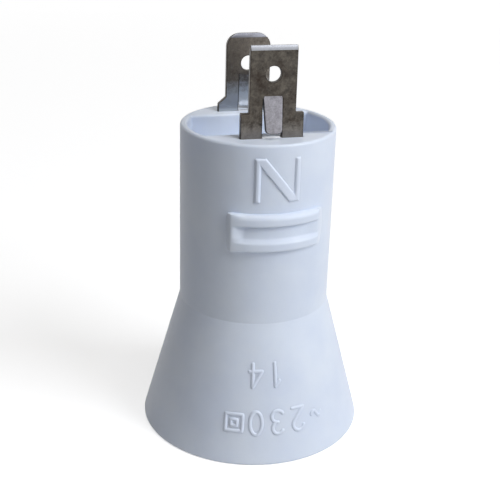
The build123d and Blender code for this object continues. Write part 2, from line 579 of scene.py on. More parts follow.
@dataclass(frozen=True)
class PlatedMetal:
    """Plated sheet metal with tarnish, rolling marks and specks, and, if a level is given, a lighter colour below it
    as painted reflection of the white moulding beneath.
    """

    name: str
    bright: Colour
    dull: Colour
    tarnish: Colour
    tarnish_share: float
    roughness: float
    # Below the given level the plate blends into the colour clean, a painted reflection of the white moulding
    # beneath; depth and waver set how far up it fades and how uneven its edge is.
    painted_reflection_level: float = 0.0
    painted_reflection_depth: float = 3.0
    painted_reflection_waver: float = 1.5
    clean: Colour = (0.3, 0.3, 0.32)
    relief: float = 1.0

    def make(self) -> bpy.types.Material:
        """The finish as a material."""
        tree = Shading(self.name)
        clouds = tree.ramp(tree.noise(0.6, detail=7, roughness=0.75), 0.34, 0.66)
        lines = tree.noise(0.3, detail=3, stretch=(1, 1, 0.06))
        patches = tree.noise(2.6, detail=7, roughness=0.78)
        plate = tree.blend(clouds, self.bright, self.dull)
        stain = tree.ramp(patches, 0.68 - self.tarnish_share / 2, 0.9 - self.tarnish_share / 2)
        metal = tree.blend(stain, plate, self.tarnish)
        # Painted reflection: lighter towards the foot, fading out over the depth above the level.
        if self.painted_reflection_level:
            place = tree.height(clouds, self.painted_reflection_waver)
            painted_reflection = tree.ramp(place, self.painted_reflection_level + self.painted_reflection_depth, self.painted_reflection_level)
            metal = tree.blend(painted_reflection, metal, self.clean)
        tree.links.new(metal, tree.surface.inputs["Base Color"])
        tree.links.new(
            tree.level(clouds, self.roughness - 0.07, self.roughness + 0.1),
            tree.surface.inputs["Roughness"],
        )
        specks = tree.noise(0.16, detail=2)
        heights = ((lines, 0.01), (specks, 0.012), (patches, 0.03))
        tree.bump([(source, height * self.relief) for source, height in heights])
        tree.surface.inputs["Metallic"].default_value = 1.0
        return tree.material


class Finishes:
    """All the finishes of the lamp adapter, each made once."""

    def __init__(self) -> None:
        """Makes the materials."""
        self.plastic = MouldedPlastic(
            name="white_moulding",
            colour=paint(228, 236, 251),
            shade_colour=paint(221, 230, 247),
            roughness=0.42,
        ).make()
        self.marks = MouldedPlastic(
            name="white_raised_marks",
            colour=paint(228, 236, 251),
            shade_colour=paint(221, 230, 247),
            roughness=0.42,
            glow_share=0,
        ).make()
        self.front_strip = PlatedMetal(
            name="tarnished_front_strip",
            bright=paint(94, 89, 82),
            dull=paint(60, 57, 54),
            tarnish=paint(48, 41, 37),
            tarnish_share=0.42,
            roughness=0.36,
            # Lighter towards the foot: painted reflection of the white moulding.
            painted_reflection_level=45.1,
            painted_reflection_depth=2.6,
            painted_reflection_waver=0.9,
            clean=paint(128, 124, 120),
        ).make()
        self.rear_strip = PlatedMetal(
            name="tarnished_rear_strip",
            bright=paint(128, 121, 113),
            dull=paint(96, 91, 86),
            tarnish=paint(66, 59, 53),
            tarnish_share=0.3,
            roughness=0.34,
            # Lighter towards the foot: painted reflection of the white moulding.
            painted_reflection_level=48.0,
            painted_reflection_depth=2.4,
            clean=paint(178, 183, 189),
        ).make()
        # Outward face of the lance: a lighter plate that paints the reflection of the bright sky on the
        # upward-tilted lance.
        self.painted_reflection = PlatedMetal(
            name="lance_painted_reflection",
            bright=paint(148, 147, 153),
            dull=paint(108, 106, 111),
            tarnish=paint(80, 75, 73),
            tarnish_share=0.25,
            roughness=0.36,
        ).make()
        # Top bevels of the tabs: a lighter plate as a painted highlight where they face up; the rear tab's copy
        # below is dimmer.
        self.bevel = PlatedMetal(
            name="bevel_painted_highlight",
            bright=paint(158, 160, 166),
            dull=paint(144, 146, 152),
            tarnish=paint(112, 109, 107),
            tarnish_share=0.15,
            roughness=0.4,
            relief=0.25,
        ).make()
        self.dim_bevel_painted_highlight = PlatedMetal(
            name="dim_bevel_painted_highlight",
            bright=paint(126, 127, 135),
            dull=paint(112, 113, 120),
            tarnish=paint(88, 84, 82),
            tarnish_share=0.25,
            roughness=0.4,
            relief=0.25,
        ).make()
        # Near-white plate on the sill between the feet: painted light that lifts the shadow the lance casts there.
        self.sill = PlatedMetal(
            name="painted_light_sill",
            bright=paint(228, 231, 238),
            dull=paint(214, 217, 225),
            tarnish=paint(186, 187, 192),
            tarnish_share=0.1,
            roughness=0.45,
            relief=0.25,
        ).make()
        # Cut edges and side faces: raw cut metal, darkened further as painted shade; also the dark band painted on
        # the rear tab's flat top.
        self.edge = PlatedMetal(
            name="cut_edge_and_painted_shade",
            bright=paint(70, 64, 59),
            dull=paint(50, 45, 41),
            tarnish=paint(36, 30, 26),
            tarnish_share=0.4,
            roughness=0.34,
        ).make()
        self.shell = PlatedMetal(
            name="nickel_shell",
            bright=paint(198, 194, 186),
            dull=paint(178, 172, 162),
            tarnish=paint(132, 122, 106),
            tarnish_share=0.12,
            roughness=0.28,
        ).make()
        self.spring = PlatedMetal(
            name="spring_bronze",
            bright=paint(214, 168, 116),
            dull=paint(190, 142, 92),
            tarnish=paint(132, 92, 60),
            tarnish_share=0.2,
            roughness=0.32,
        ).make()
        self.brass = PlatedMetal(
            name="rivet_brass",
            bright=paint(214, 184, 122),
            dull=paint(188, 156, 96),
            tarnish=paint(128, 102, 62),
            tarnish_share=0.2,
            roughness=0.34,
        ).make()


# Levels and radii that the pieces share, in millimetres


@dataclass(frozen=True)
class Layout:
    """Sizes that more than one piece takes, read from the frame or shared with the part's source."""

    body_height: float
    shell_top: float
    skirt_height: float = 19.5
    skirt_wall: float = 1.6
    mouth_diameter: float = 32.4
    shelf_z: float = 20.0
    shelf_width: float = 0.85
    shell_sheet: float = 0.4
    shell_recess: float = 0.6
    shell_clearance: float = 0.08
    shell_bend: float = 0.3
    bead_reach: float = 0.8
    thread_diameter: float = 14.04
    terminal_sheet: float = 0.8
    terminal_spacing: float = 14.0
    strip_width: float = 8.5
    slot_clearance: float = 0.05
    bend_round: float = 0.5

    @classmethod
    def from_frame(cls) -> "Layout":
        """Layout with its levels read from the CAD nodes."""
        housing_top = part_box("housing")[1][2] / MM
        shell_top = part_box("screw_shell")[1][2] / MM
        return cls(body_height=round(housing_top, 3), shell_top=round(shell_top, 3))

    @property
    def thread_radius(self) -> float:
        """Radius over the thread's roots."""
        return self.thread_diameter / 2

    @property
    def bore_radius(self) -> float:
        """Radius of the housing's bore round the shell."""
        return self.thread_radius + self.shell_sheet + self.shell_clearance

    @property
    def bead_radius(self) -> float:
        """Radius of the shell's bead."""
        return self.thread_radius + self.shell_sheet + self.bead_reach

    @property
    def counterbore_radius(self) -> float:
        """Radius of the recess for the bead."""
        return self.bead_radius + self.shell_clearance

    @property
    def shelf_radius(self) -> float:
        """Outer radius of the shelf round the bead."""
        return self.counterbore_radius + self.shelf_width

    @property
    def neck_radius(self) -> float:
        """Radius of the neck."""
        return self.shelf_radius + self.skirt_wall

    @property
    def shell_base(self) -> float:
        """Level of the shell's lower edge."""
        return self.shelf_z + self.shell_recess

    @property
    def slot_side(self) -> float:
        """Distance from the axis to the inner side of a slot."""
        return self.terminal_spacing / 2 - self.terminal_sheet / 2 - self.slot_clearance


@dataclass(frozen=True)
class RoundWall:
    """Round wall between two levels, for marks that lie on it."""

    low_radius: float
    low_z: float
    high_radius: float
    high_z: float

    def point(self, angle: float, across: float, up: float, level: float, lift: float = 0.0) -> Vector:
        """Point on the wall.

        Args:
            angle: Angle of the mark's middle from the front, towards +X, in degrees.
            across: Distance from the mark's middle round the wall.
            up: Distance from the mark's middle up the wall.
            level: Height of the mark's middle.
            lift: Distance off the wall.

        Returns:
            The point in space.
        """
        slope = hypot(self.high_z - self.low_z, self.high_radius - self.low_radius)
        rise = (self.high_z - self.low_z) / slope
        lean = (self.low_radius - self.high_radius) / slope
        z = level + up * rise
        share = (z - self.low_z) / (self.high_z - self.low_z)
        radius = self.low_radius + share * (self.high_radius - self.low_radius)
        turn = radians(angle) + across / radius
        out = radius + lift * rise
        return Vector((out * sin(turn), -out * cos(turn), z + lift * lean))


# Pieces


@dataclass
class Housing:
    """White moulding with a bell, a neck, a socket bore, a trough, slots and a key pad."""

    layout: Layout
    steps: int = 192
    rim_round: float = 0.4
    mouth_round: float = 0.35
    inner_round: float = 0.25
    edge_round: float = 0.14
    rim_wall: float = 1.0
    trough_depth: float = 4.0
    trough_round: float = 0.4
    platform_land: float = 1.55
    partition: float = 1.8
    chamber_side: float = 0.5
    chamber_reach: float = 3.4
    relief: float = 0.6
    rivet_side: float = 5.05
    rivet_recess: float = 1.1
    rivet_height: float = 0.7
    pad_left_angle: float = 35.6
    pad_right_angle: float = 43.0
    pad_drop: float = 9.4
    pad_height: float = 5.2
    pad_proud: float = 0.9
    pad_root: float = 0.5
    pad_columns: int = 72
    left_web: float = 1.1
    left_ramp: float = 1.6
    right_web: float = 1.2
    right_ramp: float = 3.0
    right_height: float = 0.6
    pocket_floor: float = 0.05
    left_slope: float = 0.9
    right_slope: float = 2.0
    left_corner: float = 0.7
    right_corner: float = 1.6

    def make_body(self) -> bpy.types.Object:
        """The turned body with its bell and bore."""
        size = self.layout
        mouth = size.mouth_diameter / 2
        outline = rounded([
            Corner(0, size.shell_top + size.terminal_sheet),
            Corner(size.bore_radius, size.shell_top + size.terminal_sheet),
            Corner(size.bore_radius, size.shell_base + size.shell_sheet, size.shell_bend),
            Corner(size.counterbore_radius, size.shell_base + size.shell_sheet),
            Corner(size.counterbore_radius, size.shelf_z),
            Corner(size.shelf_radius, size.shelf_z, self.inner_round),
            Corner(size.shelf_radius, size.skirt_height),
            Corner(mouth - size.skirt_wall, 0),
            Corner(mouth, 0, self.mouth_round),
            Corner(size.neck_radius, size.skirt_height),
            Corner(size.neck_radius, size.body_height, self.rim_round),
            Corner(0, size.body_height),
        ])
        body = turn_outline(outline, self.steps)
        edit_all(body)
        bpy.ops.mesh.dissolve_limited(angle_limit=radians(0.5))
        clean(body)
        return body

    def round_trough(self, body: bpy.types.Object, side: float) -> None:
        """Rounds the trough's upper edge.

        Args:
            body: The housing's body.
            side: Distance from the axis to the trough's long sides.
        """
        size = self.layout
        inner = size.neck_radius - self.rim_wall

        def on_edge(point: Vector) -> bool:
            """Whether a point is on the trough's upper edge."""
            long_side = abs(abs(point.y) - side) < 0.01
            end = abs(hypot(point.x, point.y) - inner) < 0.03 and abs(point.y) < side + 0.01
            return abs(point.z - size.body_height) < 0.01 and (long_side or end)

        pick(body)
        bpy.ops.object.mode_set(mode="EDIT")
        bpy.ops.mesh.select_mode(type="EDGE")
        bpy.ops.mesh.select_all(action="DESELECT")
        bpy.ops.object.mode_set(mode="OBJECT")
        points = body.data.vertices
        for edge in body.data.edges:
            edge.select = all(on_edge(points[index].co) for index in edge.vertices)
        bpy.ops.object.mode_set(mode="EDIT")
        bpy.ops.mesh.bevel(offset=self.trough_round, segments=5, affect="EDGES")
        bpy.ops.object.mode_set(mode="OBJECT")

    def cut_end(self, body: bpy.types.Object) -> None:
        """Cuts the trough, the slots and the contact chamber.

        Args:
            body: The housing's body.
        """
        size = self.layout
        floor_z = size.body_height - self.trough_depth
        chamber_top = floor_z - self.partition
        side = size.slot_side - self.platform_land
        above = size.body_height + 1
        trough = round_bar(
            Vector((0, 0, (floor_z + above) / 2)), size.neck_radius - self.rim_wall, above - floor_z, Facing.TOP
        )
        reach = size.neck_radius
        combine(
            trough, block(Vector((-reach, -side, floor_z - 1)), Vector((reach, side, above + 1))), "INTERSECT"
        )
        combine(body, trough)
        self.round_trough(body, side)
        half_slot = size.strip_width / 2 + size.slot_clearance
        for way in (-1, 1):
            near = min(way * size.slot_side, way * (size.slot_side + size.terminal_sheet + 2 * size.slot_clearance))
            far = near + size.terminal_sheet + 2 * size.slot_clearance
            combine(body, block(Vector((-half_slot, near, size.shelf_z - 1)), Vector((half_slot, far, above))))
        half_chamber = half_slot + self.chamber_side
        combine(body, block(
            Vector((-half_chamber, -self.chamber_reach, size.shell_top + size.terminal_sheet - 0.5)),
            Vector((half_chamber, size.terminal_spacing / 2, chamber_top)),
        ))
        for way, seat in ((-1, size.shell_top + size.terminal_sheet), (1, chamber_top)):
            wall = way * (size.slot_side + size.slot_clearance)
            combine(body, prism([
                Vector((wall, seat - 0.01)),
                Vector((way * (size.slot_side - self.relief), seat - 0.01)),
                Vector((wall, seat + self.relief + size.slot_clearance)),
            ], Facing.SIDE, -half_slot, half_slot))
            combine(body, round_bar(
                Vector((0, way * self.rivet_side, seat)), self.rivet_recess, 2 * self.rivet_height, Facing.TOP
            ))

    def pad_outline(self) -> list[Vector]:
        """Outline of the pad from its lower to its upper edge: height up the wall, and off the wall."""
        return rounded([
            Corner(0, -self.pad_root),
            Corner(0, self.pad_proud, 0.35),
            Corner(1.2, self.pad_proud, 0.45),
            Corner(1.8, 0.38, 0.6),
            Corner(3.45, self.pocket_floor, 0.2),
            Corner(3.6, self.pad_proud, 0.35),
            Corner(self.pad_height, self.pad_proud, 0.8),
            Corner(self.pad_height, -self.pad_root),
        ], closed=False)

    def fill_pocket(self, height: float, from_left: float, from_right: float) -> float:
        """Height of the pad where the pocket runs out towards its ends.

        Args:
            height: Height off the wall in the middle of the pad.
            from_left: Distance from the pad's left end.
            from_right: Distance from its right end.

        Returns:
            The height off the wall.
        """
        left = 1 - ease((from_left - self.left_web) / self.left_ramp)
        right = 1 - ease((from_right - self.right_web) / self.right_ramp)
        height += left * (self.pad_proud - height)
        return height + right * max(0.0, self.right_height - height)

    def pad_end(self, from_left: float, from_right: float) -> float:
        """Height that the pad's sloped ends allow, with a round where each slope meets the top.

        Args:
            from_left: Distance from the pad's left end.
            from_right: Distance from its right end.

        Returns:
            The height off the wall.
        """
        share = min(1.2, from_left / self.left_slope, from_right / self.right_slope)
        return self.pad_proud * (share if share < 0.8 else 1 - (1.2 - share) ** 2 / 0.8)

    def pad_taper(self, from_left: float, from_right: float) -> float:
        """Share of the pad's full height that its round corners leave near an end.

        Args:
            from_left: Distance from the pad's left end.
            from_right: Distance from its right end.

        Returns:
            The share.
        """
        inset = 0.0
        for radius, distance in ((self.left_corner, from_left), (self.right_corner, from_right)):
            short = max(0.0, radius - distance)
            inset += radius - sqrt(radius ** 2 - short ** 2)
        return 1 - 2 * inset / self.pad_height

    def make_pad(self) -> bpy.types.Object:
        """The key pad: a band round the front with a scooped pocket between two round ribs."""
        size = self.layout
        wall = RoundWall(size.neck_radius, 0, size.neck_radius, size.body_height)
        base = size.body_height - self.pad_drop - self.pad_height
        before = radians(self.pad_left_angle) * size.neck_radius
        length = before + radians(self.pad_right_angle) * size.neck_radius
        shares = (0.0, 0.4, 0.8, 0.9, 1.0, 1.1, 1.2)
        left = [self.left_slope * share for share in shares]
        right = [length - self.right_slope * share for share in reversed(shares)]
        inner = self.pad_columns - 2 * len(shares)
        middle = [left[-1] + (right[0] - left[-1]) * n / (inner + 1) for n in range(1, inner + 1)]
        places = [0.0] + left + middle + right + [length]
        outline = self.pad_outline()
        deselect()
        bpy.ops.mesh.primitive_grid_add(
            x_subdivisions=len(places) - 1, y_subdivisions=len(outline) - 1, size=1, location=(0, 0, 0)
        )
        pad = bpy.context.object
        for vertex in pad.data.vertices:
            column = round((vertex.co.x + 0.5) * (len(places) - 1))
            row = round((vertex.co.y + 0.5) * (len(outline) - 1))
            along = places[column]
            height = outline[row].y
            if 0 < row < len(outline) - 1:
                height = self.fill_pocket(height, along, length - along)
            inside = 0 < column < len(places) - 1
            height = min(height, self.pad_end(along, length - along)) if inside else -self.pad_root
            up = (outline[row].x - self.pad_height / 2) * self.pad_taper(along, length - along)
            vertex.co = wall.point(0, along - before, up, base + self.pad_height / 2, height)
        edit_all(pad)
        bpy.ops.mesh.fill_holes(sides=0)
        clean(pad)
        return pad

    def make(self, finishes: Finishes) -> None:
        """Builds and dresses the housing.

        Args:
            finishes: The finishes.
        """
        body = self.make_body()
        self.cut_end(body)
        soften(body, self.edge_round)
        combine(body, self.make_pad(), "UNION")
        shade(body, creases=(Corner(self.layout.neck_radius, self.layout.skirt_height),))
        finish_piece(body, "moulded_housing", [finishes.plastic], "housing")


@dataclass
class RaisedMarks:
    """Raised letter for the neutral terminal, and raised numbers and signs on the skirt."""

    layout: Layout
    letter_height: float = 5.9
    letter_width: float = 6.1
    letter_stem: float = 0.65
    letter_diagonal: float = 1.4
    letter_lift: float = 0.23
    letter_level: float = 40.15
    letter_angle: float = 0.9
    letter_draft: float = 0.14
    letter_round: float = 0.18
    figure_height: float = 3.3
    figure_width: float = 1.7
    figure_stroke: float = 0.6
    upper_level: float = 12.5
    lower_level: float = 5.95
    figure_pitch: float = 12.2
    sink: float = 0.13

    def stroke(self, points: list[Vector], width: float) -> bpy.types.Object:
        """A rounded bar along a line, closed where the line is, and else with round ends.

        Args:
            points: The line's points.
            width: The bar's width.

        Returns:
            The bar's object.
        """
        closed = (points[0] - points[-1]).length < 0.01
        if closed:
            beads = [(point, 1.0) for point in points[:-1]]
        else:
            first = (points[0] - points[1]).normalized() * width / 2
            last = (points[-1] - points[-2]).normalized() * width / 2
            cap = [(share, sqrt(1 - share * share)) for share in (0.4, 0.7, 0.9, 0.99)]
            beads = [(points[0] + first * share, radius) for share, radius in reversed(cap)]
            beads += [(point, 1.0) for point in points]
            beads += [(points[-1] + last * share, radius) for share, radius in cap]
        deselect()
        bpy.ops.curve.primitive_bezier_curve_add(location=(0, 0, 0))
        line = bpy.context.object
        line.data.splines.clear()
        spline = line.data.splines.new("POLY")
        spline.points.add(len(beads) - 1)
        for target, (point, radius) in zip(spline.points, beads):
            target.co = (*point, 1)
            target.radius = radius
        spline.use_cyclic_u = closed
        line.data.dimensions = "3D"
        line.data.bevel_depth = width / 2
        line.data.bevel_resolution = 4
        line.data.use_fill_caps = True
        bpy.ops.object.convert(target="MESH")
        return bpy.context.object

    def arc(self, x: float, y: float, wide: float, high: float, start: float, end: float) -> list[Point]:
        """Points of an arc of an ellipse.

        Args:
            x: Middle across.
            y: Middle up.
            wide: Radius across.
            high: Radius up.
            start: First angle in degrees.
            end: Last angle in degrees.

        Returns:
            The points.
        """
        count = max(4, ceil(abs(end - start) / 15))
        turns = [radians(start + (end - start) * n / count) for n in range(count + 1)]
        return [(x + wide * cos(t), y + high * sin(t)) for t in turns]

    def figure(self, sign: str) -> list[list[Point]]:
        """Lines of one figure, upright, about its middle.

        Args:
            sign: The figure: a digit, ~ or a double square as #.

        Returns:
            The lines, each a list of points.
        """
        w = self.figure_width / 2
        h = self.figure_height / 2
        bowl = h / 2
        small = 0.75
        box = h * 0.72
        figures = {
            "0": [self.arc(0, 0, w, h, 90, 450)],
            "1": [[(-w * 0.7, h * 0.55), (0, h)], [(0, h), (0, -h)]],
            "2": [self.arc(0, h - w, w, w, 165, -35) + [(-w, -h)], [(-w, -h), (w, -h)]],
            "3": [self.arc(0, bowl, w * 0.9, bowl, 150, -90), self.arc(0, -bowl, w, bowl, 90, -150)],
            "4": [[(w * 0.5, -h), (w * 0.5, h)], [(w * 0.5, h), (-w, -h * 0.35)], [(-w, -h * 0.35), (w, -h * 0.35)]],
            "~": [[(-w + 2 * w * n / 12, small * h * 0.4 * sin(2 * pi * n / 12)) for n in range(13)]],
            "#": [
                [(-box, -box), (box, -box), (box, box), (-box, box), (-box, -box)],
                [(-box * 0.36, -box * 0.36), (box * 0.36, -box * 0.36), (box * 0.36, box * 0.36),
                 (-box * 0.36, box * 0.36), (-box * 0.36, -box * 0.36)],
            ],
        }
        return figures[sign]

    def dense(self, line: list[Point], step: float = 0.35) -> list[Point]:
        """A line with more points, so that it follows a round wall.

        Args:
            line: The line.
            step: Largest distance between two points.

        Returns:
            The line's points.
        """
        points = [line[0]]
        for start, end in zip(line, line[1:]):
            count = max(1, ceil(hypot(end[0] - start[0], end[1] - start[1]) / step))
            for number in range(1, count + 1):
                share = number / count
                points.append((start[0] + share * (end[0] - start[0]), start[1] + share * (end[1] - start[1])))
        return points

    def ring(self, number: int, count: int, length: float) -> tuple[float, float]:
        """Place and height share of one row of a flat-topped bar with sloped, rounded sides.

        Args:
            number: The row.
            count: Number of the last row.
            length: The bar's length across the rows.

        Returns:
            The row's distance from the bar's edge, and its share of the bar's height.
        """
        from_edge = min(number, count - number)
        inner = self.letter_round + (length - 2 * self.letter_round) * (number - 2) / (count - 4)
        outside = (-self.letter_draft, 0.0)[from_edge] if from_edge < 2 else inner
        place = length - outside if from_edge < 2 and number > count / 2 else outside
        return place, (-0.2, 0.7, 1.0)[min(from_edge, 2)]

    def raise_bar(self, wall: RoundWall, low: float, high: float, wide: float, lift: float) -> bpy.types.Object:
        """A flat-topped bar of the letter, from its foot to its head.

        Args:
            wall: The wall that carries it.
            low: Place of its left edge at the foot.
            high: Place of its left edge at the head.
            wide: Its width across.
            lift: Its height off the wall.

        Returns:
            The bar's object.
        """
        across, up = 8, 30
        deselect()
        bpy.ops.mesh.primitive_grid_add(x_subdivisions=across, y_subdivisions=up, size=1, location=(0, 0, 0))
        bar = bpy.context.object
        for vertex in bar.data.vertices:
            x, side_share = self.ring(round((vertex.co.x + 0.5) * across), across, wide)
            y, end_share = self.ring(round((vertex.co.y + 0.5) * up), up, self.letter_height)
            left = low + (high - low) * y / self.letter_height
            vertex.co = wall.point(
                self.letter_angle, left + x, y - self.letter_height / 2, self.letter_level,
                lift * min(side_share, end_share),
            )
        edit_all(bar)
        bpy.ops.mesh.fill_holes(sides=0)
        return bar

    def merge(self, bars: list[bpy.types.Object]) -> bpy.types.Object:
        """Makes one closed body of the bars of a sign.

        Args:
            bars: The bars, which are used up.

        Returns:
            The sign's object.
        """
        for bar in bars:
            clean(bar)
        for bar in bars[1:]:
            combine(bars[0], bar, "UNION")
        return bars[0]

    def make_letter(self) -> bpy.types.Object:
        """The raised letter N on the neck."""
        size = self.layout
        wall = RoundWall(size.neck_radius, 0, size.neck_radius, size.body_height)
        half = self.letter_width / 2
        stem = half - self.letter_stem
        slant = half - self.letter_diagonal
        return self.merge([
            self.raise_bar(wall, -half, -half, self.letter_stem, self.letter_lift),
            self.raise_bar(wall, stem, stem, self.letter_stem, self.letter_lift - 0.01),
            self.raise_bar(wall, slant, -half, self.letter_diagonal, self.letter_lift - 0.02),
        ])

    def make_figures(self) -> bpy.types.Object:
        """The upside-down lines of figures on the skirt."""
        size = self.layout
        wall = RoundWall(size.mouth_diameter / 2, 0, size.neck_radius, size.skirt_height)
        signs = []
        for text, first_angle, level in (("14", 1.1, self.upper_level), ("~230#", 26.0, self.lower_level)):
            for number, sign in enumerate(text):
                angle = first_angle - number * self.figure_pitch
                bars = []
                for line in self.figure(sign):
                    points = [wall.point(angle, -x, -y, level, -self.sink) for x, y in self.dense(line)]
                    bars.append(self.stroke(points, self.figure_stroke))
                signs.append(self.merge(bars))
        return join(signs)

    def make(self, finishes: Finishes) -> None:
        """Builds and dresses the marks.

        Args:
            finishes: The finishes.
        """
        for name, marks in (("raised_letter", self.make_letter()), ("raised_figures", self.make_figures())):
            shade(marks, 50)
            finish_piece(marks, name, [finishes.marks])


@dataclass
class ScrewShell:
    """Rolled socket shell with a round thread, a bead at its mouth and a flange inside."""

    layout: Layout
    foot_end: float = 3.85
    pitch: float = 2.822
    thread_depth: float = 0.81
    run_out: float = 1.6
    around: int = 120
    rows: int = 84

    def path(self) -> list[Vector]:
        """Middle line of the sheet from the bead to the flange, as radius and height."""
        size = self.layout
        half = size.shell_sheet / 2
        wall = size.thread_radius + half
        bend = size.shell_bend + half
        ends = rounded([
            Corner(size.bead_radius, size.shell_base + half),
            Corner(wall, size.shell_base + half, bend),
            Corner(wall, size.shell_top - half, bend),
            Corner(self.foot_end, size.shell_top - half),
        ], closed=False)
        wall_end = max(range(1, len(ends)), key=lambda index: (ends[index] - ends[index - 1]).length)
        start, end = ends[wall_end - 1], ends[wall_end]
        middle = [start.lerp(end, n / self.rows) for n in range(1, self.rows)]
        return ends[:wall_end] + middle + ends[wall_end:]

    def thread(self, z: float, turn: float) -> float:
        """How far the sheet is rolled in at a point.

        Args:
            z: Height of the point.
            turn: Angle round the axis.

        Returns:
            The depth.
        """
        size = self.layout
        low = size.shell_base + size.shell_sheet + 0.6
        high = size.shell_top - size.shell_sheet - 0.6
        fade = max(0.0, min(1.0, (z - low) / self.run_out, (high - z) / self.run_out))
        phase = 2 * pi * (z / self.pitch) - turn
        return self.thread_depth * fade * (0.5 - 0.5 * cos(phase))

    def make(self, finishes: Finishes) -> None:
        """Builds and dresses the shell.

        Args:
            finishes: The finishes.
        """
        size = self.layout
        path = self.path()
        deselect()
        bpy.ops.mesh.primitive_grid_add(
            x_subdivisions=self.around, y_subdivisions=len(path) - 1, size=1, location=(0, 0, 0)
        )
        shell = bpy.context.object
        wall = size.thread_radius
        for vertex in shell.data.vertices:
            turn = 2 * pi * (vertex.co.x + 0.5)
            point = path[round((vertex.co.y + 0.5) * (len(path) - 1))]
            radius = point.x
            if abs(radius - wall - size.shell_sheet / 2) < 0.01:
                radius -= self.thread(point.y, turn)
            vertex.co = (radius * sin(turn), -radius * cos(turn), point.y)
        clean(shell)
        apply_modifier(shell, "SOLIDIFY", thickness=size.shell_sheet, offset=0, use_even_offset=True)
        clean(shell)
        shade(shell, 45)
        finish_piece(shell, "threaded_shell", [finishes.shell], "screw_shell")


